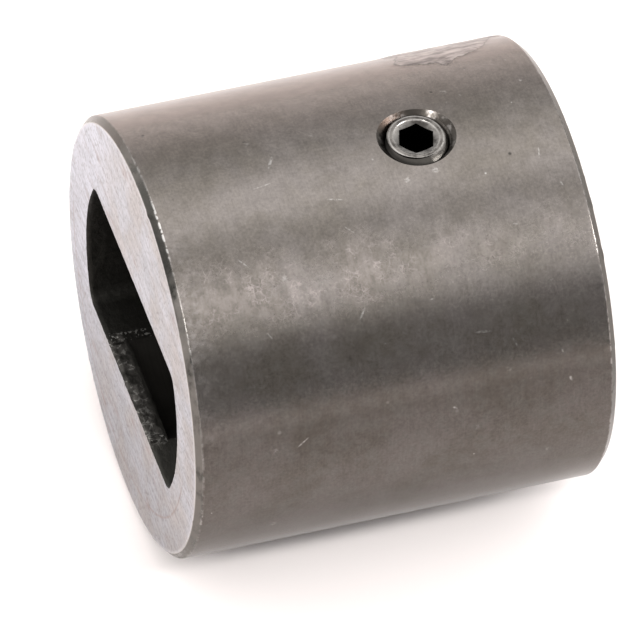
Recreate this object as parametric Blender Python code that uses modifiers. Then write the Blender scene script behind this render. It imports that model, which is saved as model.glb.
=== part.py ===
"""Rigid sleeve coupling: a steel sleeve with a double-D drive socket and a bore, and its M6 set screw.

Metres, +Z up. The sleeve lies on its side with its axis along X, and the origin is at the middle of its
axis. The double-D socket opens at the -X end, the round shaft bore at the +X end, and the set screw
points down from the top, +Z.
"""

from math import ceil, cos, floor, pi, radians, tan

import bmesh
import bpy
from mathutils import Matrix

MM = 0.001

# Sleeve
OUTER_RADIUS = 20.0 * MM
LENGTH = 38.7 * MM
END_CHAMFER = 0.6 * MM
TURNED_STEPS = 144

# Double-D socket, in the -X end
FLAT_HALF = 7.25 * MM
ARC_RADIUS = 13.9 * MM
SOCKET_DEPTH = 12.0 * MM
FLAT_TILT = radians(3.0)

# Round shaft bore, from the +X end: it runs on behind the socket's mouth and leaves a thin land there
BORE_RADIUS = 9.5 * MM
BORE_CHAMFER = 1.0 * MM
MOUTH_LAND = 1.8 * MM

# Metric thread, cut with a running clearance between the screw and its hole
PITCH = 1.0 * MM
THREAD_STEPS = 24
HOLE_STEPS = 2 * THREAD_STEPS
SCREW_CREST = 2.95 * MM
SCREW_ROOT = 2.39 * MM
HOLE_CREST = 2.50 * MM
HOLE_ROOT = 3.10 * MM
FLANK_SLOPE = tan(radians(30.0))

# Set screw
SCREW_FROM_SOCKET_END = 25.24 * MM
SCREW_LENGTH = 10.0 * MM
SCREW_TOP = 19.8 * MM
RIM_RADIUS = 2.70 * MM
COUNTERSINK_RADIUS = 3.60 * MM
HEX_ACROSS_FLATS = 3.0 * MM
HEX_DEPTH = 4.0 * MM
HEX_TURN = radians(43.0)
HEX_LEAD_IN_RADIUS = 2.1 * MM
HEX_LEAD_IN_BOTTOM = HEX_ACROSS_FLATS / 3
HEX_LEAD_IN_ANGLE = radians(60.0)
CUP_RADIUS = 1.5 * MM
CUP_ANGLE = radians(59.0)
CREST_ALLOWANCE = 0.1 * MM

# Finishes
DARK_OXIDE = (0.125, 0.112, 0.102)
SCREW_OXIDE = (0.06, 0.055, 0.05)
SHARP_ANGLE = radians(28.0)

SOCKET_FACE_X = -LENGTH / 2
SHAFT_FACE_X = LENGTH / 2
SCREW_X = SOCKET_FACE_X + SCREW_FROM_SOCKET_END
SCREW_TIP = SCREW_TOP - SCREW_LENGTH
OVERSHOOT = 2.0 * MM
WELD = MM / 1000


def clear_scene():
    """Empties the scene, so that the part is all it holds."""
    for item in list(bpy.data.objects):
        bpy.data.objects.remove(item, do_unlink=True)


def new_collection(name):
    """A collection linked to the scene."""
    collection = bpy.data.collections.new(name)
    bpy.context.scene.collection.children.link(collection)
    return collection


def principled(name, color, roughness, metallic):
    """A Principled material in one colour."""
    material = bpy.data.materials.new(name)
    material.use_nodes = True
    shader = material.node_tree.nodes["Principled BSDF"]
    shader.inputs["Base Color"].default_value = (*color, 1.0)
    shader.inputs["Roughness"].default_value = roughness
    shader.inputs["Metallic"].default_value = metallic
    return material


def link_mesh(name, mesh, collection):
    """An object with this mesh, in this collection."""
    item = bpy.data.objects.new(name, mesh)
    collection.objects.link(item)
    return item


def hide_cutter(item):
    """A cutter shapes its piece and is never seen."""
    item.hide_render = True
    item.display_type = "WIRE"


def baked(item):
    """Gives an object the mesh that its modifiers make, welded, and takes the modifiers away."""
    bpy.context.view_layer.update()
    evaluated = item.evaluated_get(bpy.context.evaluated_depsgraph_get())
    mesh = bpy.data.meshes.new_from_object(evaluated)
    item.modifiers.clear()
    item.data = mesh
    work = bmesh.new()
    work.from_mesh(mesh)
    bmesh.ops.remove_doubles(work, verts=work.verts, dist=WELD)
    work.to_mesh(mesh)
    work.free()


def add_screw_modifier(item, steps, rise=0.0, turns=1):
    """Turns a profile about Z, or winds it up a helix where it rises."""
    turned = item.modifiers.new("Turned", "SCREW")
    turned.axis = "Z"
    turned.steps = steps
    turned.render_steps = steps
    turned.screw_offset = rise
    turned.iterations = turns
    turned.use_merge_vertices = rise == 0.0
    turned.merge_threshold = WELD


def profile_piece(name, profile, collection):
    """A chain of edges through (radius, height) points in the plane of +X and Z."""
    mesh = bpy.data.meshes.new(name)
    points = [(radius, 0.0, height) for radius, height in profile]
    mesh.from_pydata(points, [(i, i + 1) for i in range(len(points) - 1)], [])
    return link_mesh(name, mesh, collection)


def turned_piece(name, profile, collection, steps=TURNED_STEPS, x=0.0):
    """A solid turned about an upright axis at x from points that run down its outer side, top to bottom.

    It is turned on by half a step, so its corners lie between those of a thread on the same axis.
    """
    item = profile_piece(name, profile, collection)
    add_screw_modifier(item, steps)
    baked(item)
    item.data.transform(Matrix.Translation((x, 0.0, 0.0)) @ Matrix.Rotation(pi / steps, 4, "Z"))
    return item


def threaded_rod(name, crest, root, low, high, collection):
    """A rod with a helical ridge: the screw's own thread, or the tap that cuts its hole.

    It reaches past both heights. Every rod starts a whole number of pitches from the row's origin, so that
    the ridges are in phase.
    """
    bottom = (floor(low / PITCH) - 1) * PITCH
    turns = ceil((high - bottom) / PITCH)
    crest_half = PITCH / 16
    base_half = crest_half + (crest - root) * FLANK_SLOPE
    middle = PITCH / 2
    profile = [
        (root, 0.0),
        (root, middle - base_half),
        (crest, middle - crest_half),
        (crest, middle + crest_half),
        (root, middle + base_half),
        (root, PITCH),
    ]
    rod = profile_piece(name, profile, collection)
    add_screw_modifier(rod, THREAD_STEPS, rise=PITCH, turns=turns)
    baked(rod)
    close_rod_ends(rod, (turns + 1) * PITCH)
    rod.data.transform(Matrix.Translation((SCREW_X, 0.0, bottom)))
    return rod


def close_rod_ends(rod, height):
    """Each open end of a wound profile is one loop of edges, closed with a fan to a point on the axis."""
    work = bmesh.new()
    work.from_mesh(rod.data)
    rims = [edge for edge in work.edges if edge.is_boundary]
    for end in (0.0, height):
        centre = work.verts.new((0.0, 0.0, end))
        for edge in rims:
            middle = (edge.verts[0].co.z + edge.verts[1].co.z) / 2
            if abs(middle - end) < height / 2:
                work.faces.new((edge.verts[0], edge.verts[1], centre))
    bmesh.ops.recalc_face_normals(work, faces=work.faces)
    work.to_mesh(rod.data)
    work.free()


def prism_piece(name, radius, sides, bottom, top, collection, turn=0.0):
    """An upright prism with this many sides, closed at both ends."""
    work = bmesh.new()
    depth = top - bottom
    bmesh.ops.create_cone(
        work, cap_ends=True, segments=sides, radius1=radius, radius2=radius, depth=depth
    )
    place = Matrix.Translation((0.0, 0.0, (top + bottom) / 2)) @ Matrix.Rotation(turn, 4, "Z")
    bmesh.ops.transform(work, matrix=place, verts=work.verts)
    mesh = bpy.data.meshes.new(name)
    work.to_mesh(mesh)
    work.free()
    return link_mesh(name, mesh, collection)


def box_piece(name, size, centre, collection):
    """A box of this size, centred on a point."""
    work = bmesh.new()
    bmesh.ops.create_cube(work, size=1.0)
    place = Matrix.Translation(centre) @ Matrix.Diagonal((*size, 1.0))
    bmesh.ops.transform(work, matrix=place, verts=work.verts)
    mesh = bpy.data.meshes.new(name)
    work.to_mesh(mesh)
    work.free()
    return link_mesh(name, mesh, collection)


def boolean(item, other, operation):
    """An exact Boolean of one piece with another."""
    cut = item.modifiers.new(other.name, "BOOLEAN")
    cut.object = other
    cut.operation = operation
    cut.solver = "EXACT"


def shade(item, material):
    """Round walls smooth, edges sharp."""
    item.data.materials.clear()
    item.data.materials.append(material)
    item.data.shade_smooth()
    item.data.set_sharp_from_angle(angle=SHARP_ANGLE)


def along_x(item):
    """Lays a piece made about Z on its side: its top end goes to +X and its +X side to -Z."""
    item.data.transform(Matrix.Rotation(pi / 2, 4, "Y"))


def sleeve_blank(collection):
    """The bar turned to size, with a chamfer at each end."""
    half = LENGTH / 2
    profile = [
        (0.0, half),
        (OUTER_RADIUS - END_CHAMFER, half),
        (OUTER_RADIUS, half - END_CHAMFER),
        (OUTER_RADIUS, -half + END_CHAMFER),
        (OUTER_RADIUS - END_CHAMFER, -half),
        (0.0, -half),
    ]
    sleeve = turned_piece("sleeve", profile, collection)
    along_x(sleeve)
    return sleeve


def socket_cutter(cutters):
    """The double-D: a round bar between two flats, square to the screw but for the flats' small tilt."""
    low = SOCKET_FACE_X - OVERSHOOT
    high = SOCKET_FACE_X + SOCKET_DEPTH
    bar = turned_piece(
        "socket_cutter", [(0.0, high), (ARC_RADIUS, high), (ARC_RADIUS, low), (0.0, low)], cutters
    )
    along_x(bar)
    size = (high - low + OVERSHOOT, 2 * OUTER_RADIUS, 2 * FLAT_HALF)
    slab = box_piece("socket_flats", size, ((high + low) / 2, 0.0, 0.0), cutters)
    slab.data.transform(Matrix.Rotation(-FLAT_TILT, 4, "X"))
    boolean(bar, slab, "INTERSECT")
    baked(bar)
    hide_cutter(slab)
    return bar


def bore_cutter(cutters):
    """The shaft bore, with the lead-in chamfer at its mouth."""
    low = SOCKET_FACE_X + MOUTH_LAND
    mouth = BORE_RADIUS + BORE_CHAMFER
    profile = [
        (0.0, SHAFT_FACE_X + OVERSHOOT),
        (mouth + OVERSHOOT, SHAFT_FACE_X + OVERSHOOT),
        (BORE_RADIUS, SHAFT_FACE_X - BORE_CHAMFER),
        (BORE_RADIUS, low),
        (0.0, low),
    ]
    bore = turned_piece("bore_cutter", profile, cutters)
    along_x(bore)
    return bore


def countersink_cutter(cutters):
    """The 45 degree countersink around the tapped hole."""
    top = OUTER_RADIUS + OVERSHOOT
    depth = COUNTERSINK_RADIUS - HOLE_CREST
    profile = [
        (0.0, top),
        (COUNTERSINK_RADIUS + OVERSHOOT, top),
        (HOLE_CREST, OUTER_RADIUS - depth),
        (0.0, OUTER_RADIUS - depth),
    ]
    return turned_piece("countersink_cutter", profile, cutters, steps=HOLE_STEPS, x=SCREW_X)


def make_sleeve(collection, cutters):
    """The sleeve: blank, socket, bore, tapped hole and countersink."""
    sleeve = sleeve_blank(collection)
    tap = threaded_rod("tap", HOLE_ROOT, HOLE_CREST, BORE_RADIUS - PITCH, OUTER_RADIUS, cutters)
    tools = [socket_cutter(cutters), bore_cutter(cutters), tap, countersink_cutter(cutters)]
    for tool in tools:
        boolean(sleeve, tool, "DIFFERENCE")
        hide_cutter(tool)
    steel = principled("dark_oxide_steel", DARK_OXIDE, 0.42, 0.85)
    shade(sleeve, steel)
    return sleeve


def screw_blank(cutters):
    """The screw's outline without its thread: a bevelled rim, a body just over the crests and a cup point."""
    body = SCREW_CREST + CREST_ALLOWANCE
    profile = [
        (0.0, SCREW_TOP),
        (RIM_RADIUS, SCREW_TOP),
        (body, SCREW_TOP - (body - RIM_RADIUS)),
        (body, SCREW_TIP + (body - CUP_RADIUS)),
        (CUP_RADIUS, SCREW_TIP),
        (0.0, SCREW_TIP + CUP_RADIUS / tan(CUP_ANGLE)),
    ]
    return turned_piece("screw_blank", profile, cutters, steps=HOLE_STEPS, x=SCREW_X)


def hex_cutter(cutters):
    """The hex socket for the key."""
    corner = HEX_ACROSS_FLATS / 2 / cos(pi / 6)
    floor_height = SCREW_TOP - HEX_DEPTH
    top = SCREW_TOP + OVERSHOOT
    hexagon = prism_piece("hex_cutter", corner, 6, floor_height, top, cutters, turn=HEX_TURN)
    hexagon.data.transform(Matrix.Translation((SCREW_X, 0.0, 0.0)))
    return hexagon


def lead_in_cutter(cutters):
    """The cone that leads the key into the hex. It starts inside the hexagon and so never touches a flat."""
    depth = (HEX_LEAD_IN_RADIUS - HEX_LEAD_IN_BOTTOM) / tan(HEX_LEAD_IN_ANGLE)
    top = SCREW_TOP + OVERSHOOT
    profile = [
        (0.0, top),
        (HEX_LEAD_IN_RADIUS + OVERSHOOT * tan(HEX_LEAD_IN_ANGLE), top),
        (HEX_LEAD_IN_BOTTOM, SCREW_TOP - depth),
        (0.0, SCREW_TOP - depth),
    ]
    return turned_piece("lead_in_cutter", profile, cutters, steps=HOLE_STEPS, x=SCREW_X)


def make_set_screw(collection, cutters):
    """The set screw: a thread cut down to the blank's outline, with its hex socket."""
    screw = threaded_rod("set_screw", SCREW_CREST, SCREW_ROOT, SCREW_TIP, SCREW_TOP, collection)
    blank = screw_blank(cutters)
    boolean(screw, blank, "INTERSECT")
    hide_cutter(blank)
    for tool in (hex_cutter(cutters), lead_in_cutter(cutters)):
        boolean(screw, tool, "DIFFERENCE")
        hide_cutter(tool)
    steel = principled("black_screw_steel", SCREW_OXIDE, 0.35, 0.9)
    shade(screw, steel)
    return screw


clear_scene()
part = new_collection("sleeve_coupling")
cutting_tools = new_collection("cutters")
make_sleeve(part, cutting_tools)
make_set_screw(part, cutting_tools)
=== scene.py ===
"""A rigid sleeve coupling: one turned steel sleeve with a double-D socket, and its M6 set screw.

Metres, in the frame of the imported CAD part: the sleeve's axis is X with the socket at its -X end, and the
set screw points up, +Z.
"""

import random
from math import asin, ceil, cos, degrees, hypot, pi, radians, sin, tan

import bmesh
import bpy
from mathutils import Matrix, Quaternion, Vector, noise


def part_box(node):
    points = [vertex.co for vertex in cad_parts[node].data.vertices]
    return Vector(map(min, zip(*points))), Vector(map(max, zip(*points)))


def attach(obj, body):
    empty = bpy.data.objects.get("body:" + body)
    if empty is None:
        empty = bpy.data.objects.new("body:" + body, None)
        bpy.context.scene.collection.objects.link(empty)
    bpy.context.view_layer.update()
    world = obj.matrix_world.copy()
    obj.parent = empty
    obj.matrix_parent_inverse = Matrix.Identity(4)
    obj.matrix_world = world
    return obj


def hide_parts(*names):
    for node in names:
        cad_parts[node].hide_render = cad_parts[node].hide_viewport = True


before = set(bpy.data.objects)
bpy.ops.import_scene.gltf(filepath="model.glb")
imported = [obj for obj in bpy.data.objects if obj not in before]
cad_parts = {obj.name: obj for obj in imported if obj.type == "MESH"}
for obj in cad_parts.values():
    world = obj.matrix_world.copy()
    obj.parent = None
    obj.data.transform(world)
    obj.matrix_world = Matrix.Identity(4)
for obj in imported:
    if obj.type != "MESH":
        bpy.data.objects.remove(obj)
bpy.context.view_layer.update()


# Sleeve
#
# A thick sleeve turned from steel bar, faced bright at the socket's end and black-oxidised elsewhere, with
# a broached double-D socket, a bored shaft hole and a countersunk M6 hole tapped through its wall.

MM = 0.001
sleeve_low, sleeve_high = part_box("sleeve")
screw_low, screw_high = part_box("set_screw")
FACE_X = sleeve_high.x
OUTER_RADIUS = sleeve_high.z
END_CHAMFER = 0.6 * MM
EDGE_WEAR = 0.07 * MM
CORE_RADIUS = 5.0 * MM
BORE_RADIUS = 9.5 * MM
BORE_CHAMFER = 1.0 * MM
LAND_DEPTH = 1.8 * MM
SLEEVE_STEPS = 400

FLAT_HALF = 7.25 * MM
ARC_RADIUS = 13.9 * MM
SOCKET_DEPTH = 12.0 * MM
CORNER_ROUNDING = 1.6 * MM
FLAT_TILT = radians(3.0)

SCREW_X = (screw_low.x + screw_high.x) / 2
PITCH = 1.0 * MM
HOLE_CREST = 2.50 * MM
HOLE_ROOT = 3.10 * MM
COUNTERSINK_RADIUS = 3.55 * MM
THREAD_STEPS = 64
OVERSHOOT = 2.0 * MM
COUNTERSINK_CUTTER = 1.3 * MM
TAP_BOTTOM = 7.0 * MM
TAP_TURNS = 15
NICK_DEPTH = 0.07 * MM
SCALE_DEPTH = 0.08 * MM
MOUTH_BELL = 0.10 * MM
MOUTH_LIP = 0.25 * MM
TORN_TO = 3.0 * MM
LAND_HALF = 7.5 * MM
SEAM = 0.001 * MM


class Wire:
    """An output socket. Python's arithmetic on it adds Math nodes."""

    def __init__(self, nodes, socket):
        self.nodes = nodes
        self.socket = socket

    def maths(self, operation, *values):
        return self.nodes.add("ShaderNodeMath", {"operation": operation}, dict(enumerate(values)))

    def __add__(self, other):
        return self.maths("ADD", self, other)

    def __radd__(self, other):
        return self.maths("ADD", other, self)

    def __sub__(self, other):
        return self.maths("SUBTRACT", self, other)

    def __rsub__(self, other):
        return self.maths("SUBTRACT", other, self)

    def __mul__(self, other):
        return self.maths("MULTIPLY", self, other)

    def __rmul__(self, other):
        return self.maths("MULTIPLY", other, self)

    def __truediv__(self, other):
        return self.maths("DIVIDE", self, other)

    def __pow__(self, other):
        return self.maths("POWER", self, other)

    def __neg__(self):
        return self.maths("MULTIPLY", self, -1.0)

    def __abs__(self):
        return self.maths("ABSOLUTE", self)

    def step(self, low, high):
        """0 where this is low and 1 where it is high, with a smooth change between them."""
        values = {"Value": self, "From Min": low, "From Max": high, "To Min": 0.0, "To Max": 1.0}
        return self.nodes.add("ShaderNodeMapRange", {"interpolation_type": "SMOOTHSTEP"}, values)

    def near(self, middle, width):
        """A smooth hill, 1 at the middle value and 0 further from it than the width."""
        return abs(self - middle).step(width, 0.0)


class Nodes:
    """One node tree. add() makes a node from its type, its settings and what goes in its sockets."""

    def __init__(self, tree):
        self.tree = tree

    def add(self, kind, settings=None, values=None, output=0):
        made = self.tree.nodes.new(kind)
        for name, value in (settings or {}).items():
            if name == "stops":
                self.set_stops(made.color_ramp, value)
            else:
                setattr(made, name, value)
        for name, value in (values or {}).items():
            self.feed(made.inputs[name], value)
        return Wire(self, made.outputs[output])

    def feed(self, socket, value):
        if isinstance(value, Wire):
            self.tree.links.new(value.socket, socket)
        elif value is not None:
            socket.default_value = value

    def set_stops(self, ramp, stops):
        """A ramp's stops are (position, grey or colour)."""
        while len(ramp.elements) < len(stops):
            ramp.elements.new(1.0)
        for element, (position, shade) in zip(ramp.elements, stops):
            element.position = position
            element.color = (shade, shade, shade, 1.0) if isinstance(shade, float) else (*shade, 1.0)

    def also(self, wire, output):
        """Another output of the node that this wire leaves."""
        return Wire(self, wire.socket.node.outputs[output])

    def end(self, solid):
        """Ends a Geometry Nodes tree in its one output."""
        output = self.tree.nodes.new("NodeGroupOutput")
        self.tree.links.new(solid.socket, output.inputs[0])


class Finish(Nodes):
    """A Principled material with the patterns that its metal finishes share."""

    def __init__(self, name, metallic=1.0):
        self.material = bpy.data.materials.new(name)
        self.material.use_nodes = True
        super().__init__(self.material.node_tree)
        self.shader = self.tree.nodes["Principled BSDF"]
        self.shader.inputs["Metallic"].default_value = metallic
        self.place = self.add("ShaderNodeTexCoord", output="Object")
        self.x = self.add("ShaderNodeSeparateXYZ", {}, {0: self.place}, output="X")
        self.y = self.also(self.x, "Y")
        self.z = self.also(self.x, "Z")

    def grain(self, size, detail=3.0, stretch=(1.0, 1.0, 1.0), turn=(0.0, 0.0, 0.0), shift=0.0):
        """Cloudy noise from 0 to 1 with spots of this size in metres, drawn out by the stretch."""
        scale = tuple(1.0 / size / way for way in stretch)
        mapping = {"Vector": self.place, "Rotation": turn, "Scale": scale, "Location": (shift,) * 3}
        spot = self.add("ShaderNodeMapping", {}, mapping)
        values = {"Vector": spot, "Scale": 1.0, "Detail": detail, "Roughness": 0.6}
        return self.add("ShaderNodeTexNoise", {"noise_dimensions": "3D"}, values)

    def specks(self, size, radius, share, shift=0.0):
        """Small round spots: one in each cell of this size, kept for the given share of the cells."""
        mapping = {"Vector": self.place, "Scale": (1.0 / size,) * 3, "Location": (shift,) * 3}
        spot = self.add("ShaderNodeMapping", {}, mapping)
        cells = self.add("ShaderNodeTexVoronoi", {"feature": "F1"}, {"Vector": spot, "Scale": 1.0})
        choice = self.add("ShaderNodeSeparateColor", {}, {0: self.also(cells, "Color")})
        return cells.step(radius / size, 0.3 * radius / size) * choice.step(share, share * 0.98)

    def hairlines(self, size, width, shift=0.0):
        """Thin bent lines between cells of this size, each line as wide as this in metres."""
        mapping = {"Vector": self.place, "Scale": (1.0 / size,) * 3, "Location": (shift,) * 3}
        spot = self.add("ShaderNodeMapping", {}, mapping)
        noise_values = {"Vector": spot, "Scale": 0.9, "Detail": 3.0}
        bend = self.also(self.add("ShaderNodeTexNoise", {}, noise_values), "Color")
        shift_by = {0: bend, 1: (1.6, 1.6, 1.6), 2: spot}
        bend = self.add("ShaderNodeVectorMath", {"operation": "MULTIPLY_ADD"}, shift_by)
        cells = {"Vector": bend, "Scale": 1.0}
        edge = self.add("ShaderNodeTexVoronoi", {"feature": "DISTANCE_TO_EDGE"}, cells)
        return edge.step(width / size, 0.2 * width / size)

    def mix(self, factor, low, high, blend="MIX"):
        """The low colour where the factor is 0 and the high one where it is 1."""
        settings = {"data_type": "RGBA", "blend_type": blend, "clamp_factor": True}
        low, high = [c if isinstance(c, Wire) else (*c, 1.0) for c in (low, high)]
        return self.add("ShaderNodeMix", settings, {0: factor, 6: low, 7: high}, output=2)

    def bump(self, height, depth):
        """The normal of a surface whose height, from 0 to 1, is worth this depth in metres."""
        return self.add("ShaderNodeBump", {}, {"Height": height, "Distance": depth, "Strength": 1.0})

    def set(self, **values):
        """Feeds the shader's sockets: base_color goes to Base Color."""
        for name, value in values.items():
            self.feed(self.shader.inputs[name.replace("_", " ").title()], value)
        return self.material


def dark_oxide():
    """Black-oxidised turned steel: rubbed paler in front, scuffed, chipped and freckled, and made darker low
    down and across the front by painted shade.

    The angle is in degrees about the sleeve's axis: 0 is level in front, 90 is the top, 180 is behind.
    """
    steel = Finish("dark_oxide")
    angle = steel.z.maths("ARCTAN2", steel.z, -steel.y) * degrees(1.0)
    radius = (steel.y * steel.y + steel.z * steel.z) ** 0.5
    # How light the oxide is: clouds, mottling, turning marks, and wear that follows the angle.
    clouds = steel.grain(6.0 * MM, detail=9.0)
    mottle = steel.grain(1.3 * MM, detail=9.0, shift=3.0)
    fine = steel.grain(0.26 * MM, detail=4.0, shift=7.0)
    turning = steel.grain(0.13 * MM, detail=4.0, stretch=(1.0, 22.0, 22.0))
    # How light the oxide is: clouds, mottling, turning marks, wear, and painted shade that follows the angle.
    strokes = steel.grain(0.9 * MM, detail=9.0, stretch=(1.0, 2.2, 2.2), shift=11.0)
    rub = angle.near(57.0, 16.0) * (0.45 + 0.55 * steel.x.step(12.0 * MM, -4.0 * MM))
    rub = rub * (0.35 + 0.65 * steel.grain(4.5 * MM, detail=5.0, shift=51.0).step(0.42, 0.58))
    blots = steel.grain(1.8 * MM, detail=6.0, shift=27.0).step(0.60, 0.72) * angle.near(34.0, 24.0)
    tone = 0.59 + clouds * 0.24 + mottle * 0.52 + (fine - 0.5) * 0.70 + (turning - 0.5) * 0.28
    tone = tone + rub * strokes.step(0.34, 0.70) * 0.16 - blots * 0.22
    behind = angle.step(178.0, 146.0)
    tone = tone + angle.step(112.0, 140.0) * behind * (0.02 + 0.25 * mottle.step(0.30, 0.66))
    # Painted shade: this ramp over the angle darkens the oxide below about 30 degrees up, most of all low
    # down in front, where little light falls and dark surroundings are reflected.
    painted_shade_by_angle = [
        (-180.0, 1.0), (-150.0, 0.95), (-115.0, 0.50), (-75.0, 0.25), (-36.0, 0.22), (-28.0, 0.37),
        (-20.0, 0.54), (-4.0, 0.61), (4.0, 0.59), (12.0, 0.50), (20.0, 0.48), (28.0, 0.90), (35.0, 1.0),
        (180.0, 1.0),
    ]
    painted_shade_by_angle = [((place + 180.0) / 360.0, share) for place, share in painted_shade_by_angle]
    tone = tone * steel.add("ShaderNodeValToRGB", {"stops": painted_shade_by_angle}, {0: (angle + 180.0) / 360.0})
    # Its tint: browner over the top, a little greener in front.
    dark = steel.mix(clouds.step(0.35, 0.65), (0.162, 0.144, 0.127), (0.188, 0.168, 0.156))
    dark = steel.mix(mottle.step(0.45, 0.60) * angle.near(0.0, 75.0) * 0.5, dark, (0.166, 0.158, 0.145))
    dark = steel.mix(angle.step(92.0, 116.0) * behind * 0.9, dark, (0.188, 0.154, 0.138))
    shade = steel.add("ShaderNodeCombineColor", {}, {0: tone, 1: tone, 2: tone})
    color = steel.mix(1.0, dark, shade, blend="MULTIPLY")
    # Scuffs where it has been handled and set down.
    scuffs = steel.hairlines(1.0 * MM, 0.07 * MM, 2.0) + 0.7 * steel.hairlines(0.45 * MM, 0.05 * MM, 8.0)
    scuffs = scuffs * steel.grain(1.6 * MM, detail=5.0, shift=33.0).step(0.44, 0.66)
    rubbed = rub * strokes.step(0.42, 0.62) * 0.26
    color = steel.mix(rubbed + scuffs * rub * 0.85, color, (0.300, 0.262, 0.248))
    worn_end = (steel.x + FACE_X).step(4.2 * MM, 0.6 * MM) * angle.near(50.0, 42.0)
    worn_end = worn_end * steel.grain(0.6 * MM, detail=7.0, shift=15.0).step(0.44, 0.64)
    color = steel.mix(worn_end * 0.45, color, (0.330, 0.300, 0.288))
    # The patch of scale, and the chamfers.
    scale = mill_scale(steel, steel.place, steel.x, angle)
    flaky = steel.grain(0.8 * MM, detail=9.0, stretch=(2.4, 1.0, 1.0), shift=8.0)
    scaly = steel.mix(flaky.step(0.34, 0.66), (0.085, 0.069, 0.065), (0.440, 0.385, 0.365))
    color = steel.mix(scale * 0.85, color, scaly)
    scale_edge = scale.near(0.30, 0.30) * flaky.step(0.36, 0.50)
    color = steel.mix(scale_edge * 0.75, color, (0.040, 0.032, 0.028))
    chamfer = (abs(steel.x) - (FACE_X - END_CHAMFER)).step(-0.02 * MM, 0.06 * MM)
    bare = 1.0 - angle.near(79.0, 22.0).step(0.0, 0.4) - angle.step(102.0, 112.0) * behind
    bare = bare * steel.x.step(0.0, -MM) * strokes.step(0.36, 0.56)
    color = steel.mix(chamfer * (0.55 + 0.4 * mottle), color, (0.060, 0.060, 0.054))
    color = steel.mix(chamfer * bare * 0.4, color, (0.260, 0.236, 0.218))
    # Bare steel shows in specks, in scars and along the chamfers' edges, and the pits hold dirt.
    bright = steel.specks(2.6 * MM, 0.16 * MM, 0.14) * 0.6
    bright = bright + steel.specks(1.5 * MM, 0.09 * MM, 0.12, 5.0) * 0.6
    bright = bright + steel.specks(3.1 * MM, 0.42 * MM, 0.22, 14.0) * fine.step(0.40, 0.60) * 0.25
    bright = bright + steel.specks(2.0 * MM, 0.26 * MM, 0.30, 23.0) * angle.near(30.0, 26.0) * 0.16
    scars, pits = steel_marks(steel, angle)
    chips = steel.grain(0.55 * MM, detail=4.0, shift=13.0)
    knocked = angle.near(78.0, 16.0) * steel.x.step(0.0, -MM)
    spread = steel.grain(4.0 * MM, detail=2.0, shift=31.0).step(0.50, 0.62) * 0.25 + knocked
    chip_width = (0.03 + 0.18 * chips) * MM
    outer_edge = (abs(abs(steel.x) - (FACE_X - END_CHAMFER)) / chip_width).step(1.0, 0.4)
    outer_edge = outer_edge * chips.step(0.42, 0.55) * (0.10 + 0.75 * spread)
    inner_edge = (radius - (OUTER_RADIUS - END_CHAMFER)).near(0.0, 0.09 * MM) * 0.7
    edge = outer_edge.maths("MAXIMUM", outer_edge, inner_edge)
    color = steel.mix(bright + edge + scars, color, (0.58, 0.56, 0.54))
    pits = pits + steel.specks(4.3 * MM, 0.22 * MM, 0.12, shift=9.0) * 0.8
    color = steel.mix(pits, color, (0.03, 0.028, 0.025))
    rough = 0.19 + fine * 0.10 + rub * 0.10 + scale * 0.10 + chamfer * bare * 0.25
    steel.shader.inputs["Specular Tint"].default_value = (0.88, 0.87, 0.86, 1.0)
    relief = turning * 0.30 + fine * 0.35 + mottle * 0.3 + scuffs * rub * 0.3 - pits * 2.0
    return steel.set(base_color=color, roughness=rough, normal=steel.bump(relief, 0.006 * MM))


def mill_scale(nodes, place, x, angle):
    """1 on the flaky patch of scale left near the shaft end, 0 off it, with a ragged edge between."""
    flakes = nodes.add("ShaderNodeTexNoise", {}, {"Vector": place, "Scale": 0.5 / MM, "Detail": 7.0})
    from_middle = (x - 11.5 * MM) / (4.0 * MM)
    low_edge = 124.0 + from_middle * from_middle * 6.0
    patch = (angle + flakes * 12.0 - low_edge).step(0.0, 1.5)
    patch = patch * (x + flakes * 5.0 * MM).step(10.0 * MM, 11.5 * MM)
    return patch * (angle - flakes * 20.0).step(144.0, 138.0) * x.step(19.0 * MM, 18.0 * MM)


def steel_marks(steel, angle):
    """Scars and pits knocked in the side, strewn over its front and top by a fixed seed.

    A mark is its x in mm, its angle, length and width in mm, and its heading in degrees.
    """
    draw = random.Random(5)

    def strewn(count, longest, widest):
        shortest = 0.25
        marks = []
        for _ in range(count):
            x = draw.uniform(-0.7, 0.9) * FACE_X / MM
            turn = draw.uniform(15.0, 115.0)
            length = shortest + (longest - shortest) * draw.random() ** 2
            marks.append((x, turn, length, draw.uniform(0.12, widest), draw.uniform(0.0, 180.0)))
        return marks

    scars = strewn(24, 1.6, 0.30)
    pits = strewn(2, 0.35, 0.22)

    def marked(marks):
        found = None
        for x, turn, length, width, heading in marks:
            along = steel.x - x * MM
            around = (angle - turn) * (radians(1.0) * OUTER_RADIUS)
            ahead, aside = cos(radians(heading)), sin(radians(heading))
            lengthwise = (along * ahead + around * aside) / (length / 2 * MM)
            crosswise = (around * ahead - along * aside) / (width / 2 * MM)
            mark = (lengthwise * lengthwise + crosswise * crosswise).step(1.6, 0.1)
            found = mark if found is None else found.maths("MAXIMUM", found, mark)
        return found

    broken = steel.grain(0.25 * MM, detail=3.0, shift=19.0).step(0.36, 0.60)
    return marked(scars) * broken * 0.36, marked(pits) * 0.85


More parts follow.
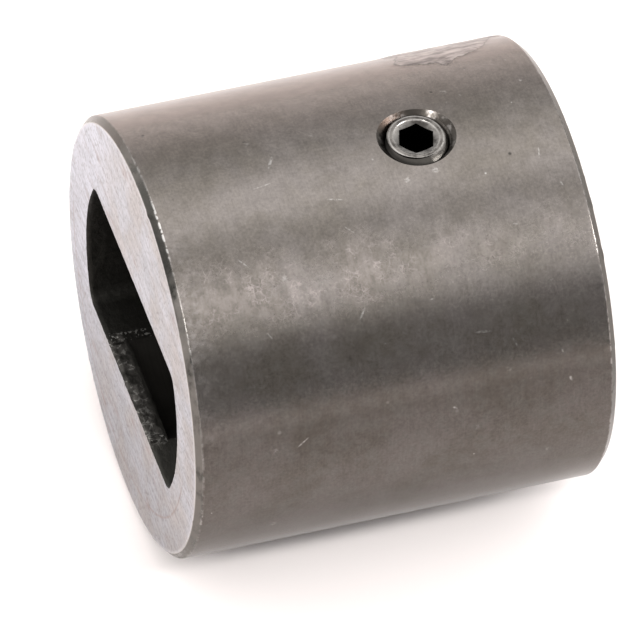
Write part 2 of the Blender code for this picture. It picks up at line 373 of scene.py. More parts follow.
def bright_face():
    """The faced end: bare steel with curved cutter marks, a little stain and a thin brown arc, made darker
    towards the bottom by painted shade.
    """
    steel = Finish("machined_end_face")
    tilt = (radians(-22.0), 0.0, 0.0)
    brushed = steel.grain(0.16 * MM, detail=3.0, stretch=(1.0, 14.0, 1.0), turn=tilt)
    broad = steel.grain(0.55 * MM, detail=5.0, stretch=(1.0, 6.0, 1.0), turn=tilt)
    clouds = steel.grain(5.0 * MM, detail=4.0, shift=4.0)
    dots = steel.grain(0.35 * MM, detail=4.0, shift=24.0)
    radius = (steel.y * steel.y + steel.z * steel.z) ** 0.5
    color = steel.mix(clouds.step(0.38, 0.62), (0.400, 0.376, 0.372), (0.430, 0.432, 0.462))
    color = steel.mix(steel.y.step(3.0 * MM, 14.0 * MM) * 0.85, color, (0.460, 0.470, 0.520))
    tone = 0.68 + brushed.step(0.3, 0.7) * 0.16 + broad.step(0.34, 0.66) * 0.24
    tone = tone + dots.step(0.3, 0.6) * 0.14
    # Painted shade: the face is darker towards the bottom.
    tone = tone * (1.0 - 0.17 * steel.z.step(-3.0 * MM, -13.0 * MM))
    specks = steel.specks(2.2 * MM, 0.16 * MM, 0.10, shift=41.0) + dots.step(0.46, 0.38) * 0.42
    shade = steel.add("ShaderNodeCombineColor", {}, {0: tone, 1: tone, 2: tone})
    color = steel.mix(1.0, color, shade, blend="MULTIPLY")
    stain = steel.grain(1.2 * MM, detail=6.0, stretch=(1.0, 3.0, 1.0), turn=tilt, shift=17.0).step(0.55, 0.70)
    color = steel.mix(stain * 0.5, color, (0.27, 0.20, 0.18))
    color = steel.mix(specks * 0.8, color, (0.14, 0.12, 0.11))
    arc = (radius - (16.9 * MM + steel.y * 0.06)).near(0.0, 0.22 * MM)
    arc = arc * steel.z.step(0.0, -3.0 * MM) * steel.grain(1.2 * MM, shift=2.0).step(0.34, 0.46)
    color = steel.mix(arc * 0.55, color, (0.26, 0.18, 0.15))
    face_radius = OUTER_RADIUS - END_CHAMFER
    rim = steel.grain(0.5 * MM, detail=3.0, shift=6.0) * 0.35 * MM
    rim = (radius + rim).step(face_radius - 0.15 * MM, face_radius + 0.1 * MM)
    color = steel.mix(rim * 0.4, color, (0.60, 0.59, 0.61))
    rough = 0.36 + brushed * 0.16
    relief = brushed * 0.6 + broad * 0.4
    return steel.set(base_color=color, roughness=rough, normal=steel.bump(relief, 0.007 * MM))


def socket_wall():
    """Broached walls: oxide over rough tearing, painted near black as shade, with painted light on the thin
    land at the mouth and bright torn spots there and along the recess's edges, partly painted as glints.
    """
    steel = Finish("broached_socket", metallic=0.9)
    depth = steel.x + FACE_X
    tears = steel.grain(0.75 * MM, detail=5.0, stretch=(1.0, 1.6, 1.0))
    scratches = steel.grain(0.2 * MM, detail=3.0, stretch=(6.0, 1.0, 1.0), shift=5.0)
    land = (depth + tears * 1.5 * MM).step(2.45 * MM, 2.05 * MM) * abs(steel.y).step(7.2 * MM, 6.2 * MM)
    # Painted shade: the walls are near black, far darker than the same oxide outside, because the socket is
    # in shade.
    color = steel.mix(scratches, (0.014, 0.013, 0.011), (0.034, 0.032, 0.028))
    # Painted light: the low end of the far flat is a little lighter.
    painted_light_low_end = steel.y.step(-6.2 * MM, -6.8 * MM) * steel.z.step(0.0, -MM)
    color = steel.mix(painted_light_low_end * 0.8, color, (0.060, 0.057, 0.050))
    # Painted light: the torn land at the mouth is lighter, as if lit through the mouth.
    color = steel.mix(land * tears.step(0.36, 0.64) * 0.9, color, (0.100, 0.093, 0.085))
    # Bright spots along the recess's edges and curls on the land: partly bare torn steel, partly painted
    # glints.
    ends = abs(steel.y).near(6.3 * MM, 0.9 * MM) * depth.step(5.0 * MM, 3.0 * MM)
    ends = ends * steel.grain(0.35 * MM, detail=3.0, shift=12.0).step(0.56, 0.64)
    torn_curls_and_glints = steel.hairlines(0.9 * MM, 0.10 * MM, 3.0) * tears.step(0.50, 0.60)
    torn = land.maths("MAXIMUM", land * torn_curls_and_glints * 0.30, ends)
    color = steel.mix(torn, color, (0.62, 0.60, 0.56))
    rough = 0.45 - torn * 0.2 + scratches * 0.1
    relief = tears * 0.85 + scratches * 0.15
    return steel.set(base_color=color, roughness=rough, normal=steel.bump(relief, 0.10 * MM))


def bored_wall():
    """The bore and the tapped hole: turned rings under dark oxide, oily, and painted almost black as the
    shade inside them.
    """
    steel = Finish("bored_wall", metallic=0.9)
    rings = steel.grain(0.12 * MM, detail=2.0, stretch=(1.0, 60.0, 60.0))
    patches = steel.grain(2.5 * MM, detail=3.0)
    # Painted shade: near black, far darker than the oxide outside.
    color = steel.mix(rings * 0.5 + patches * 0.5, (0.014, 0.013, 0.011), (0.040, 0.036, 0.032))
    rough = 0.36 + patches * 0.15
    return steel.set(base_color=color, roughness=rough, normal=steel.bump(rings, 0.008 * MM))


def cut_thread():
    """The countersink and the hole's thread: oiled dark steel, browned and rubbed bright in arcs, and painted
    near black as shade deeper in the hole.
    """
    steel = Finish("cut_thread_steel")
    patches = steel.grain(1.7 * MM, detail=3.0, shift=1.5)
    fine = steel.grain(0.25 * MM, detail=3.0)
    grime = steel.grain(0.5 * MM, detail=5.0, shift=6.5).step(0.40, 0.58)
    color = steel.mix(patches.step(0.44, 0.62) * grime, (0.060, 0.053, 0.046), (0.23, 0.212, 0.198))
    brown = steel.y.step(1.0 * MM, 2.6 * MM) * (SCREW_X - steel.x).step(-0.5 * MM, 1.5 * MM)
    color = steel.mix(brown * 0.5, color, (0.12, 0.078, 0.060))
    # Painted shade: near black deeper in the hole.
    shade_deep_in_hole = steel.z.step(OUTER_RADIUS - 0.55 * MM, OUTER_RADIUS - 0.85 * MM)
    color = steel.mix(shade_deep_in_hole * 0.85, color, (0.02, 0.018, 0.016))
    rough = 0.22 + fine * 0.16
    return steel.set(base_color=color, roughness=rough, normal=steel.bump(fine, 0.012 * MM))


def rounded_outline(corners, arc_steps=4):
    """Points round a closed outline. A corner is its two places, its rounding and the spacing after it."""
    places = [Vector((across, up)) for across, up, _, _ in corners]
    arcs = []
    for i, (_, _, rounding, _) in enumerate(corners):
        back = (places[i - 1] - places[i]).normalized() * rounding
        ahead = (places[(i + 1) % len(places)] - places[i]).normalized() * rounding
        steps = arc_steps if rounding else 0
        arc = [places[i] + back * (1 - t / arc_steps) ** 2 + ahead * (t / arc_steps) ** 2
               for t in range(steps + 1)]
        arcs.append(arc)
    points = []
    for i, (_, _, _, spacing) in enumerate(corners):
        points += arcs[i]
        start = arcs[i][-1]
        end = arcs[(i + 1) % len(arcs)][0]
        count = max(1, ceil((end - start).length / spacing))
        points += [start.lerp(end, t / count) for t in range(1, count)]
    return points


def turned_tree():
    """Turns an outline of (radius, 0, height) points about Z and lays it down along X.

    It knocks nicks in the rims and sinks the patch of scale, both by no more than the given depths.
    """
    tree = bpy.data.node_groups.new("turned_from_outline", "GeometryNodeTree")
    socket = tree.interface.new_socket
    socket("Outline", in_out="INPUT", socket_type="NodeSocketGeometry")
    socket("Steps", in_out="INPUT", socket_type="NodeSocketInt")
    socket("Lie Down", in_out="INPUT", socket_type="NodeSocketFloat")
    socket("Rim Place", in_out="INPUT", socket_type="NodeSocketFloat")
    socket("Nick Depth", in_out="INPUT", socket_type="NodeSocketFloat")
    socket("Scale Depth", in_out="INPUT", socket_type="NodeSocketFloat")
    socket("Material", in_out="INPUT", socket_type="NodeSocketMaterial")
    socket("Solid", in_out="OUTPUT", socket_type="NodeSocketGeometry")
    n = Nodes(tree)
    outline = n.add("NodeGroupInput", output="Outline")
    steps, lie_down = n.also(outline, "Steps"), n.also(outline, "Lie Down")
    count = n.add("GeometryNodeAttributeDomainSize", {"component": "MESH"}, {0: outline})
    sizes = {"Vertices X": count, "Vertices Y": steps + 1.0, "Size X": 1.0, "Size Y": 1.0}
    grid = n.add("GeometryNodeMeshGrid", {}, sizes)
    index = n.add("GeometryNodeInputIndex")
    row = index.maths("FLOOR", (index + 0.5) / (steps + 1.0))
    turn = (index - row * (steps + 1.0)) / steps * (2 * pi)
    sample = {"Geometry": outline, "Value": n.add("GeometryNodeInputPosition"), "Index": row}
    place = n.add("GeometryNodeSampleIndex", {"data_type": "FLOAT_VECTOR"}, sample)
    place = n.add("ShaderNodeVectorRotate", {"rotation_type": "Z_AXIS"}, {"Vector": place, "Angle": turn})
    place = n.add("ShaderNodeVectorRotate", {"rotation_type": "Y_AXIS"}, {"Vector": place, "Angle": lie_down})
    solid = n.add("GeometryNodeSetPosition", {}, {"Geometry": grid, "Position": place})
    solid = n.add("GeometryNodeMergeByDistance", {}, {"Geometry": solid, "Distance": SEAM})

    here = n.add("GeometryNodeInputPosition")
    x = n.add("ShaderNodeSeparateXYZ", {}, {0: here}, output="X")
    y, z = n.also(x, "Y"), n.also(x, "Z")
    rim = (n.also(outline, "Rim Place") - abs(x)).step(1.3 * MM, 0.5 * MM)
    outside = (y * y + z * z).step((0.85 * OUTER_RADIUS) ** 2, (0.93 * OUTER_RADIUS) ** 2)
    chips = n.add("ShaderNodeTexNoise", {}, {"Vector": here, "Scale": 0.9 / MM, "Detail": 3.0})
    nick = chips.step(0.58, 0.80) * rim * outside * n.also(outline, "Nick Depth")
    angle = x.maths("ARCTAN2", z, -y) * degrees(1.0)
    ragged = n.add("ShaderNodeTexNoise", {}, {"Vector": here, "Scale": 1.1 / MM, "Detail": 3.0})
    scale = mill_scale(n, here, x, angle) * n.also(outline, "Scale Depth") * (0.4 + 1.2 * ragged)
    normal = n.add("GeometryNodeInputNormal")
    offset = n.add("ShaderNodeVectorMath", {"operation": "SCALE"}, {0: normal, "Scale": -(nick + scale)})
    solid = n.add("GeometryNodeSetPosition", {}, {"Geometry": solid, "Offset": offset})
    solid = n.add("GeometryNodeRealizeInstances", {}, {0: solid})
    finish = {"Geometry": solid, "Material": n.also(outline, "Material")}
    solid = n.add("GeometryNodeSetMaterial", {}, finish)
    n.end(solid)
    return tree


def linked(name, mesh):
    """An object with this mesh, in the scene."""
    item = bpy.data.objects.new(name, mesh)
    bpy.context.scene.collection.objects.link(item)
    return item


def settle(item):
    """Gives an object the plain mesh that its modifiers make, and takes the modifiers away."""
    bpy.context.view_layer.update()
    evaluated = item.evaluated_get(bpy.context.evaluated_depsgraph_get())
    mesh = bpy.data.meshes.new_from_object(evaluated)
    item.modifiers.clear()
    item.data = mesh


def grown(name, points, tree, **inputs):
    """A solid that a Geometry Nodes tree grows from a chain of (across, up) points."""
    mesh = bpy.data.meshes.new(name)
    places = [(across, 0.0, up) for across, up in points]
    mesh.from_pydata(places, [(i, i + 1) for i in range(len(places) - 1)], [])
    item = linked(name, mesh)
    made = item.modifiers.new("Grown", "NODES")
    made.node_group = tree
    for socket in tree.interface.items_tree:
        if socket.in_out == "INPUT" and socket.name in inputs:
            made[socket.identifier] = inputs[socket.name]
    settle(item)
    outward(item)
    return item


def outward(item):
    """Turns a closed solid's faces outward."""
    work = bmesh.new()
    work.from_mesh(item.data)
    bmesh.ops.recalc_face_normals(work, faces=work.faces)
    work.to_mesh(item.data)
    work.free()


def carve(item, cutters, operation="DIFFERENCE"):
    """Cuts the cutters out of a piece and throws them away."""
    for cutter in cutters:
        cut = item.modifiers.new(cutter.name, "BOOLEAN")
        cut.object = cutter
        cut.operation = operation
        cut.solver = "EXACT"
    settle(item)
    for cutter in cutters:
        bpy.data.objects.remove(cutter)


def thread_tree():
    """Winds a chain of (radius, 0, height) points, one pitch high, up a helix about Z."""
    tree = bpy.data.node_groups.new("wound_thread", "GeometryNodeTree")
    socket = tree.interface.new_socket
    socket("Outline", in_out="INPUT", socket_type="NodeSocketGeometry")
    socket("Steps", in_out="INPUT", socket_type="NodeSocketInt")
    socket("Turns", in_out="INPUT", socket_type="NodeSocketInt")
    socket("Pitch", in_out="INPUT", socket_type="NodeSocketFloat")
    socket("Start", in_out="INPUT", socket_type="NodeSocketVector")
    socket("Material", in_out="INPUT", socket_type="NodeSocketMaterial")
    socket("Solid", in_out="OUTPUT", socket_type="NodeSocketGeometry")
    n = Nodes(tree)
    outline = n.add("NodeGroupInput", output="Outline")
    steps = n.also(outline, "Steps")
    rows = steps * n.also(outline, "Turns") + 1.0
    count = n.add("GeometryNodeAttributeDomainSize", {"component": "MESH"}, {0: outline})
    sizes = {"Vertices X": rows, "Vertices Y": count, "Size X": 1.0, "Size Y": 1.0}
    grid = n.add("GeometryNodeMeshGrid", {}, sizes)
    index = n.add("GeometryNodeInputIndex")
    row = index.maths("FLOOR", (index + 0.5) / count)
    sample = {"Geometry": outline, "Value": n.add("GeometryNodeInputPosition"), "Index": index - row * count}
    place = n.add("GeometryNodeSampleIndex", {"data_type": "FLOAT_VECTOR"}, sample)
    turn = row / steps
    angles = {"Vector": place, "Angle": turn * (2 * pi)}
    place = n.add("ShaderNodeVectorRotate", {"rotation_type": "Z_AXIS"}, angles)
    rise = n.add("ShaderNodeCombineXYZ", {}, {"Z": turn * n.also(outline, "Pitch")})
    place = n.add("ShaderNodeVectorMath", {"operation": "ADD"}, {0: place, 1: rise})
    place = n.add("ShaderNodeVectorMath", {"operation": "ADD"}, {0: place, 1: n.also(outline, "Start")})
    solid = n.add("GeometryNodeSetPosition", {}, {"Geometry": grid, "Position": place})
    solid = n.add("GeometryNodeMergeByDistance", {}, {"Geometry": solid, "Distance": SEAM})
    solid = n.add("GeometryNodeRealizeInstances", {}, {0: solid})
    finish = {"Geometry": solid, "Material": n.also(outline, "Material")}
    n.end(n.add("GeometryNodeSetMaterial", {}, finish))
    return tree


def threaded_rod(name, crest, root, bottom, turns, material):
    """A rod with a helical ridge about the screw's axis, closed at both ends."""
    crest_half = PITCH / 16
    base_half = crest_half + (crest - root) * tan(radians(30.0))
    middle = PITCH / 2
    ridge = [
        (root, 0.0),
        (root, middle - base_half),
        (crest, middle - crest_half),
        (crest, middle + crest_half),
        (root, middle + base_half),
        (root, PITCH),
    ]
    rod = grown(
        name, ridge, wound, Steps=THREAD_STEPS, Turns=turns, Pitch=PITCH,
        Start=(SCREW_X, 0.0, bottom), Material=material,
    )
    work = bmesh.new()
    work.from_mesh(rod.data)
    rims = [edge for edge in work.edges if edge.is_boundary]
    height = (turns + 1) * PITCH
    for end in (bottom, bottom + height):
        centre = work.verts.new((SCREW_X, 0.0, end))
        for edge in rims:
            if abs((edge.verts[0].co.z + edge.verts[1].co.z) / 2 - end) < height / 2:
                work.faces.new((edge.verts[0], edge.verts[1], centre))
    bmesh.ops.recalc_face_normals(work, faces=work.faces)
    work.to_mesh(rod.data)
    work.free()
    return rod


def double_d_ring(flat_half, arc_radius, corner, spacing):
    """Points round the double-D, anticlockwise: arcs and flats with rounded corners between them."""
    inner = arc_radius - corner
    reach = asin((flat_half - corner) / inner)
    flat_end = inner * cos(reach)
    points = []
    for side in (1, -1):
        stretches = [
            ((0.0, 0.0), arc_radius, -reach, reach),
            ((flat_end, flat_half - corner), corner, reach, pi / 2),
        ]
        for (across, up), radius, start, end in stretches:
            count = ceil((end - start) * radius / spacing)
            for i in range(count):
                a = start + (end - start) * i / count
                points.append(side * Vector((across + radius * cos(a), up + radius * sin(a))))
        count = ceil(2 * flat_end / spacing)
        for i in range(count):
            points.append(side * Vector((flat_end * (1 - 2 * i / count), flat_half)))
        middle = Vector((-flat_end, flat_half - corner))
        count = ceil((pi / 2 - reach) * corner / spacing)
        for i in range(count):
            a = pi / 2 + (pi / 2 - reach) * i / count
            points.append(side * (middle + corner * Vector((cos(a), sin(a)))))
    return points


def socket_cutter():
    """The broach's shape: torn and slightly belled at the mouth, smoother further in."""
    spacing = 0.28 * MM
    ring = double_d_ring(FLAT_HALF, ARC_RADIUS, CORNER_ROUNDING, spacing)
    depths = [-OVERSHOOT, -0.02 * MM, 0.0, 0.1 * MM, MOUTH_LIP]
    depths += [MOUTH_LIP + spacing * i for i in range(1, 8)]
    depths += [TORN_TO, 5.0 * MM, 8.0 * MM, SOCKET_DEPTH]
    work = bmesh.new()
    rows = []
    for depth in depths:
        bell = MOUTH_BELL * max(0.0, 1.0 - max(depth, 0.0) / MOUTH_LIP)
        row = []
        for point in ring:
            seed = Vector((depth, point.x, point.y)) / MM
            torn = noise.noise(seed * 1.3) * 0.08 + noise.noise(seed * 2.9) * 0.08
            on_land = point.y < 0.0 and abs(point.x) < LAND_HALF
            fade = max(0.0, 1.0 - max(depth, 0.0) / TORN_TO)
            grow = bell + torn * MM * fade * (1.6 if on_land else 0.7)
            out = point * (1.0 + grow / point.length)
            row.append(work.verts.new((-FACE_X + depth, out.x, out.y)))
        rows.append(row)
    for low, high in zip(rows, rows[1:]):
        for i in range(len(ring)):
            j = (i + 1) % len(ring)
            work.faces.new((low[i], low[j], high[j], high[i]))
    work.faces.new(rows[0])
    work.faces.new(rows[-1])
    bmesh.ops.rotate(work, verts=work.verts, matrix=Matrix.Rotation(-FLAT_TILT, 3, "X"))
    bmesh.ops.recalc_face_normals(work, faces=work.faces)
    mesh = bpy.data.meshes.new("socket_cutter")
    work.to_mesh(mesh)
    work.free()
    return linked("socket_cutter", mesh)


def on_screw_axis(item):
    """Moves a turned piece from the row's Z axis to the screw's, turned on by half a step."""
    half_step = Matrix.Rotation(pi / THREAD_STEPS, 4, "Z")
    item.data.transform(Matrix.Translation((SCREW_X, 0.0, 0.0)) @ half_step)
    return item


def finish_faces(item):
    """Gives each face of the sleeve the finish of the surface it belongs to."""
    finishes = [dark_oxide(), bright_face(), socket_wall(), bored_wall(), cut_thread()]
    item.data.materials.clear()
    for finish in finishes:
        item.data.materials.append(finish)
    side, end_face, socket, bore, screw_hole = range(len(finishes))
    close = 0.05 * MM
    for face in item.data.polygons:
        place, normal = face.center, face.normal
        radius = hypot(place.y, place.z)
        outward_share = (normal.y * place.y + normal.z * place.z) / max(radius, MM)
        by_screw = hypot(place.x - SCREW_X, place.y) < COUNTERSINK_RADIUS + close
        on_side = outward_share >= 0.95
        in_socket = place.x < -FACE_X + SOCKET_DEPTH + 2 * close
        if abs(normal.x) > 0.9 and abs(place.x) > FACE_X - 2 * close:
            face.material_index = end_face
        elif place.z > BORE_RADIUS - 2 * MM and by_screw and not on_side:
            face.material_index = screw_hole
        elif radius > OUTER_RADIUS - END_CHAMFER - 6 * close:
            face.material_index = side
        elif in_socket and abs(radius - BORE_RADIUS) > close:
            face.material_index = socket
        else:
            face.material_index = bore


def shade(item, sharp=32.0):
    """Round walls smooth, edges sharp."""
    item.data.shade_smooth()
    item.data.set_sharp_from_angle(angle=radians(sharp))


turned = turned_tree()
wound = thread_tree()
ring_corners = [
    (CORE_RADIUS, -FACE_X, 0.0, 0.8 * MM),
    (OUTER_RADIUS - END_CHAMFER, -FACE_X, EDGE_WEAR, 0.2 * MM),
    (OUTER_RADIUS, -FACE_X + END_CHAMFER, EDGE_WEAR, 0.5 * MM),
    (OUTER_RADIUS, FACE_X - END_CHAMFER, EDGE_WEAR, 0.2 * MM),
    (OUTER_RADIUS - END_CHAMFER, FACE_X, EDGE_WEAR, 1.0 * MM),
    (BORE_RADIUS + BORE_CHAMFER, FACE_X, EDGE_WEAR, 0.4 * MM),
    (BORE_RADIUS, FACE_X - BORE_CHAMFER, EDGE_WEAR, 1.2 * MM),
    (BORE_RADIUS, -FACE_X + LAND_DEPTH, 0.0, 1.2 * MM),
    (CORE_RADIUS, -FACE_X + LAND_DEPTH, 0.0, 0.6 * MM),
]
ring = rounded_outline(ring_corners)
sleeve_inputs = {
    "Steps": SLEEVE_STEPS, "Lie Down": pi / 2, "Rim Place": FACE_X,
    "Nick Depth": NICK_DEPTH, "Scale Depth": SCALE_DEPTH,
}
sleeve = grown("sleeve_body", ring + ring[:1], turned, **sleeve_inputs)
countersink_corners = [
    (0.0, OUTER_RADIUS + OVERSHOOT, 0.0, OVERSHOOT),
    (0.0, OUTER_RADIUS - COUNTERSINK_CUTTER, 0.0, OVERSHOOT),
    (HOLE_CREST, OUTER_RADIUS - COUNTERSINK_CUTTER, 0.0, OVERSHOOT),
    (HOLE_CREST, OUTER_RADIUS - (COUNTERSINK_RADIUS - HOLE_CREST), 0.0, OVERSHOOT),
    (COUNTERSINK_RADIUS + OVERSHOOT, OUTER_RADIUS + OVERSHOOT, 0.0, OVERSHOOT),
]
cone = rounded_outline(countersink_corners)
countersink = on_screw_axis(grown("countersink", cone + cone[:1], turned, Steps=THREAD_STEPS))
tap = threaded_rod("tap", HOLE_ROOT, HOLE_CREST, TAP_BOTTOM, TAP_TURNS, None)
carve(sleeve, [socket_cutter(), tap, countersink])
finish_faces(sleeve)
shade(sleeve)
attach(sleeve, "sleeve")
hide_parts("sleeve")


# Set screw
#
# An M6 cup-point set screw of black-oxidised hard steel, its rim and its hex socket's mouth rubbed bright
# by the key, with a painted highlight along those edges as well. It is screwed down in the tapped hole until
# its top is just under the sleeve's surface.

SCREW_TOP = screw_high.z
SCREW_TIP = screw_low.z
SCREW_CREST = 2.95 * MM
SCREW_ROOT = 2.39 * MM
RIM_RADIUS = 2.50 * MM
CUP_RADIUS = 1.5 * MM
CUP_ANGLE = radians(59.0)
HEX_ACROSS_FLATS = 3.0 * MM
HEX_DEPTH = 4.0 * MM
HEX_TURN = radians(43.0)
LEAD_IN_RADIUS = 2.02 * MM
LEAD_IN_DEPTH = 0.42 * MM
ROD_BOTTOM = 8.0 * MM
ROD_TURNS = 13


def screw_finish():
    """Black oxide, rubbed bright on the lead-in and, with a painted highlight as well, on the rim's edge and
    the lead-in's lip; painted near black as shade everywhere deeper.
    """
    steel = Finish("black_oxide_screw")
    across = steel.x - SCREW_X
    radius = (across * across + steel.y * steel.y) ** 0.5
    fine = steel.grain(0.22 * MM, detail=3.0)
    patches = steel.grain(1.0 * MM, detail=4.0, shift=3.0)
    color = steel.mix(patches, (0.035, 0.032, 0.029), (0.085, 0.078, 0.070))
    top = steel.z.step(SCREW_TOP - 0.20 * MM, SCREW_TOP - 0.06 * MM)
    color = steel.mix(top * patches.step(0.30, 0.60), color, (0.21, 0.195, 0.18))
    # Rim and lip: rubbed bare, and also a painted highlight along these edges.
    rim = radius.near(RIM_RADIUS - 0.08 * MM, 0.12 * MM) * steel.z.step(SCREW_TOP - 0.16 * MM, SCREW_TOP)
    lip = radius.near(LEAD_IN_RADIUS + 0.02 * MM, 0.14 * MM) * 0.8
    rubbed_and_highlit = rim.maths("MAXIMUM", rim, lip) * top * fine.step(0.25, 0.5)
    color = steel.mix(rubbed_and_highlit, color, (0.36, 0.34, 0.32))
    lead_in = radius.step(1.45 * MM, 1.65 * MM) * radius.step(LEAD_IN_RADIUS, LEAD_IN_RADIUS - 0.1 * MM)
    lead_in = lead_in * steel.z.step(SCREW_TOP - 0.60 * MM, SCREW_TOP - 0.35 * MM)
    color = steel.mix(lead_in * patches.step(0.35, 0.65) * 0.5, color, (0.30, 0.285, 0.27))
    # Painted shade: near black down in the hex socket and on the thread below the top.
    socket = steel.z.step(SCREW_TOP - 0.45 * MM, SCREW_TOP - 0.9 * MM) * radius.step(1.74 * MM, 1.5 * MM)
    thread = steel.z.step(SCREW_TOP - 0.30 * MM, SCREW_TOP - 0.50 * MM) * 0.75
    color = steel.mix(socket.maths("MAXIMUM", socket, thread), color, (0.012, 0.011, 0.010))
    rough = 0.17 + fine * 0.14
    return steel.set(base_color=color, roughness=rough, normal=steel.bump(fine, 0.008 * MM))


def hex_cutter():
    """The hex socket, turned as the key left it."""
    work = bmesh.new()
    corner = HEX_ACROSS_FLATS / 2 / cos(pi / 6)
    depth = HEX_DEPTH + OVERSHOOT
    bmesh.ops.create_cone(work, cap_ends=True, segments=6, radius1=corner, radius2=corner, depth=depth)
    middle = (SCREW_X, 0.0, SCREW_TOP + OVERSHOOT - depth / 2)
    place = Matrix.Translation(middle) @ Matrix.Rotation(HEX_TURN, 4, "Z")
    bmesh.ops.transform(work, matrix=place, verts=work.verts)
    mesh = bpy.data.meshes.new("hex_cutter")
    work.to_mesh(mesh)
    work.free()
    return linked("hex_cutter", mesh)


screw_steel = screw_finish()
shoulder = SCREW_CREST + 0.1 * MM
blank_corners = [
    (0.0, SCREW_TOP, 0.0, 1.0 * MM),
    (0.0, SCREW_TIP + CUP_RADIUS / tan(CUP_ANGLE), 0.0, 0.5 * MM),
    (CUP_RADIUS, SCREW_TIP, 0.08 * MM, 0.5 * MM),
    (shoulder, SCREW_TIP + shoulder - CUP_RADIUS, 0.08 * MM, 1.0 * MM),
    (shoulder, SCREW_TOP - (shoulder - RIM_RADIUS), 0.15 * MM, 0.5 * MM),
    (RIM_RADIUS, SCREW_TOP, 0.22 * MM, 0.5 * MM),
]
blank = rounded_outline(blank_corners)
blank = on_screw_axis(grown("screw_blank", blank + blank[:1], turned, Steps=THREAD_STEPS))
lead_in_corners = [
    (0.0, SCREW_TOP + OVERSHOOT, 0.0, 1.0 * MM),
    (0.0, SCREW_TOP - LEAD_IN_DEPTH, 0.0, 1.0 * MM),
    (HEX_ACROSS_FLATS / 3, SCREW_TOP - LEAD_IN_DEPTH, 0.0, 1.0 * MM),
    (LEAD_IN_RADIUS, SCREW_TOP - 0.06 * MM, 0.12 * MM, 1.0 * MM),
    (LEAD_IN_RADIUS + OVERSHOOT, SCREW_TOP + OVERSHOOT, 0.0, 1.0 * MM),
]
lead_in = rounded_outline(lead_in_corners)
lead_in = on_screw_axis(grown("lead_in", lead_in + lead_in[:1], turned, Steps=THREAD_STEPS))
screw = threaded_rod("set_screw_body", SCREW_CREST, SCREW_ROOT, ROD_BOTTOM, ROD_TURNS, screw_steel)
carve(screw, [blank], operation="INTERSECT")
carve(screw, [hex_cutter(), lead_in])
screw.data.materials.clear()
screw.data.materials.append(screw_steel)
for face in screw.data.polygons:
    face.material_index = 0
shade(screw)
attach(screw, "set_screw")
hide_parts("set_screw")


# Floor, light and camera
#
# A white sweep under a light tent: bright strips in front of the top and behind it, a dark gap low in
# front, a narrow bright box off each end, a dark card at the socket's end, and a long lens from above it.

FLOOR_HALF = 0.9
CAMERA_AIM = Vector((-4.87, -8.36, 7.76)) * MM
CAMERA_DISTANCE = 0.94
CAMERA_AZIMUTH = radians(-20.74)
CAMERA_ELEVATION = radians(49.75)
CAMERA_ROLL = radians(4.64)
CAMERA_LENS = 603.1
BOX_BRIGHT = 34.0
CARD_SHARE = 0.012


def studio_floor():
    """A plain white sheet that the sleeve lies on."""
    mesh = bpy.data.meshes.new("studio_floor")
    height = sleeve_low.z
    corners = [(-1, -1), (1, -1), (1, 1), (-1, 1)]
    mesh.from_pydata([(FLOOR_HALF * x, FLOOR_HALF * y, height) for x, y in corners], [], [(0, 1, 2, 3)])
    floor = linked("studio_floor", mesh)
    paper = Finish("white_paper", metallic=0.0)
    paper.set(base_color=(0.95, 0.885, 0.865, 1.0), roughness=0.9)
    paper.shader.inputs["Specular IOR Level"].default_value = 0.2
    mesh.materials.append(paper.material)
    return floor


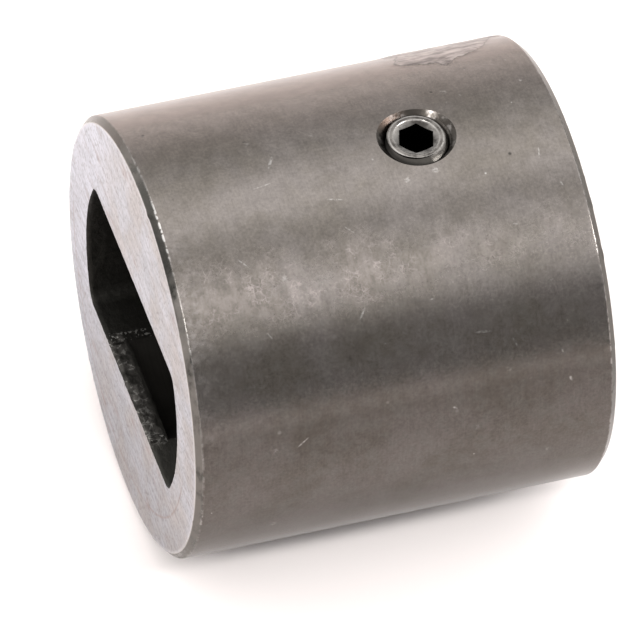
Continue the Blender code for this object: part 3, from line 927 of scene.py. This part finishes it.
def studio_light():
    """Light by the angle about the sleeve's axis, from 0 level in front to 180 level behind.

    What the camera sees past the floor is plain white.
    """
    world = bpy.data.worlds.new("light_tent")
    bpy.context.scene.world = world
    world.use_nodes = True
    n = Nodes(world.node_tree)
    way = n.add("ShaderNodeTexCoord", output="Generated")
    x = n.add("ShaderNodeSeparateXYZ", {}, {0: way}, output="X")
    y, z = n.also(x, "Y"), n.also(x, "Z")
    angle = x.maths("ARCTAN2", z, -y) * degrees(1.0)
    stops = [
        (-180.0, 1.3), (-20.0, 1.1), (-2.0, 0.50), (12.0, 0.44), (34.0, 0.46), (48.0, 1.50), (62.0, 1.70),
        (74.0, 1.55), (86.0, 1.05), (98.0, 1.95), (108.0, 2.20), (122.0, 1.72), (138.0, 1.10),
        (152.0, 0.98), (166.0, 1.33), (180.0, 1.9),
    ]
    ramp = [((place + 180.0) / 360.0, bright / BOX_BRIGHT) for place, bright in stops]
    glow = n.add("ShaderNodeValToRGB", {"stops": ramp}, {0: (angle + 180.0) / 360.0})
    boxes = abs(x).step(0.42, 0.56) * abs(x).step(0.97, 0.90) * angle.near(57.5, 6.0)
    lit = {0: boxes, 6: glow, 7: (1.0, 1.0, 1.0, 1.0)}
    glow = n.add("ShaderNodeMix", {"data_type": "RGBA"}, lit, output=2)
    card = {0: x.step(-0.84, -0.92), 6: glow, 7: (CARD_SHARE, CARD_SHARE, CARD_SHARE, 1.0)}
    glow = n.add("ShaderNodeMix", {"data_type": "RGBA"}, card, output=2)
    seen = n.add("ShaderNodeLightPath", output="Is Camera Ray")
    sides = {0: seen, 6: glow, 7: (1.0, 1.0, 1.0, 1.0)}
    color = n.add("ShaderNodeMix", {"data_type": "RGBA"}, sides, output=2)
    back = world.node_tree.nodes["Background"]
    n.feed(back.inputs["Color"], color)
    n.feed(back.inputs["Strength"], BOX_BRIGHT)


def camera():
    """A long lens, rolled a little so that the sleeve's axis leans."""
    data = bpy.data.cameras.new("camera")
    data.lens = CAMERA_LENS
    data.clip_start = 0.01
    data.clip_end = 10.0
    item = bpy.data.objects.new("camera", data)
    bpy.context.scene.collection.objects.link(item)
    level = cos(CAMERA_ELEVATION)
    back = Vector((sin(CAMERA_AZIMUTH) * level, -cos(CAMERA_AZIMUTH) * level, sin(CAMERA_ELEVATION)))
    item.location = CAMERA_AIM + back * CAMERA_DISTANCE
    item.rotation_mode = "QUATERNION"
    item.rotation_quaternion = (-back).to_track_quat("-Z", "Y") @ Quaternion((0, 0, 1), CAMERA_ROLL)
    bpy.context.scene.camera = item


studio_floor()
studio_light()
camera()
bpy.context.scene.view_settings.view_transform = "Standard"
